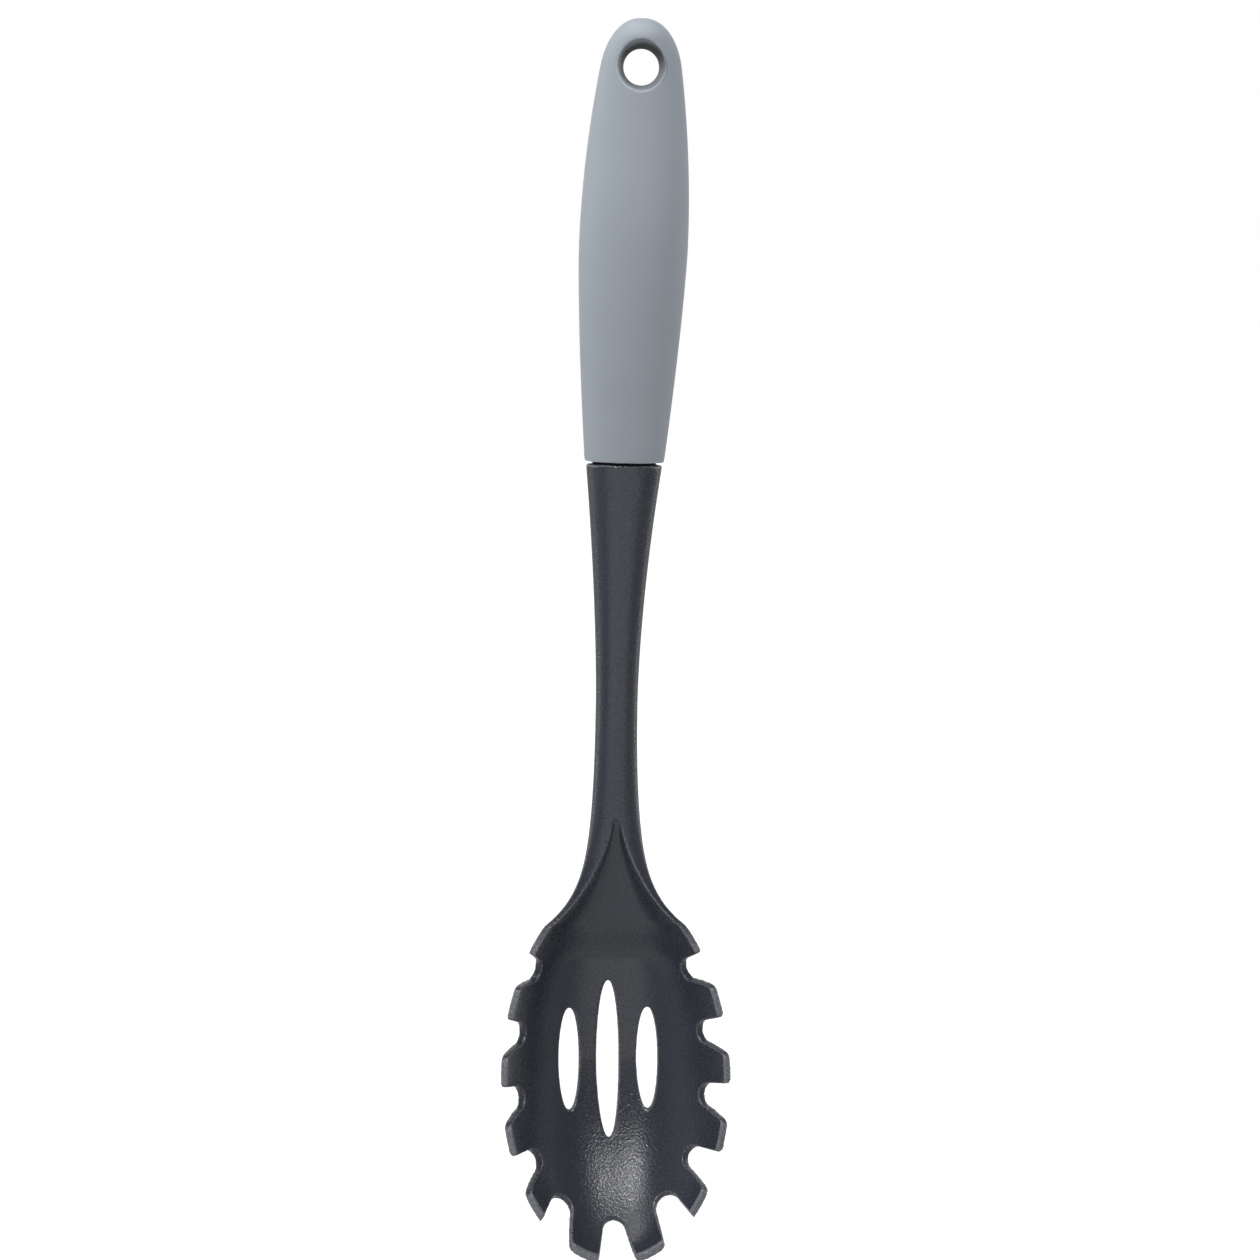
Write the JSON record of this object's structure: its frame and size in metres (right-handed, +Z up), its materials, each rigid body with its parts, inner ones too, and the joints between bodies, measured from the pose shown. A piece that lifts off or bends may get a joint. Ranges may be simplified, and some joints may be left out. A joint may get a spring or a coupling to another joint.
{
  "type": "spaghetti server",
  "caption": "Pronged nylon bowl with draining slots on a long curved shank, in a soft grey-blue handle with a hanging hole; lifts and drains spaghetti.",
  "frame": {"origin": "centre of the hanging hole, half way through the handle", "axes": "+Z up along the handle, away from the bowl; -Y the side that the bowl opens to; +X to the right seen from that side; the hanging hole runs along Y"},
  "size_m": [0.0642, 0.0672, 0.3325],
  "materials": {
    "nylon": "fine spark-eroded satin",
    "core": "as moulded, hidden",
    "core_back": "as moulded, hidden",
    "grip": "soft-touch matt"
  },
  "bodies": {
    "root": {"server_head": "nylon", "core_front": "core", "core_back": "core_back", "soft_grip": "grip"}
  },
  "joints": []
}
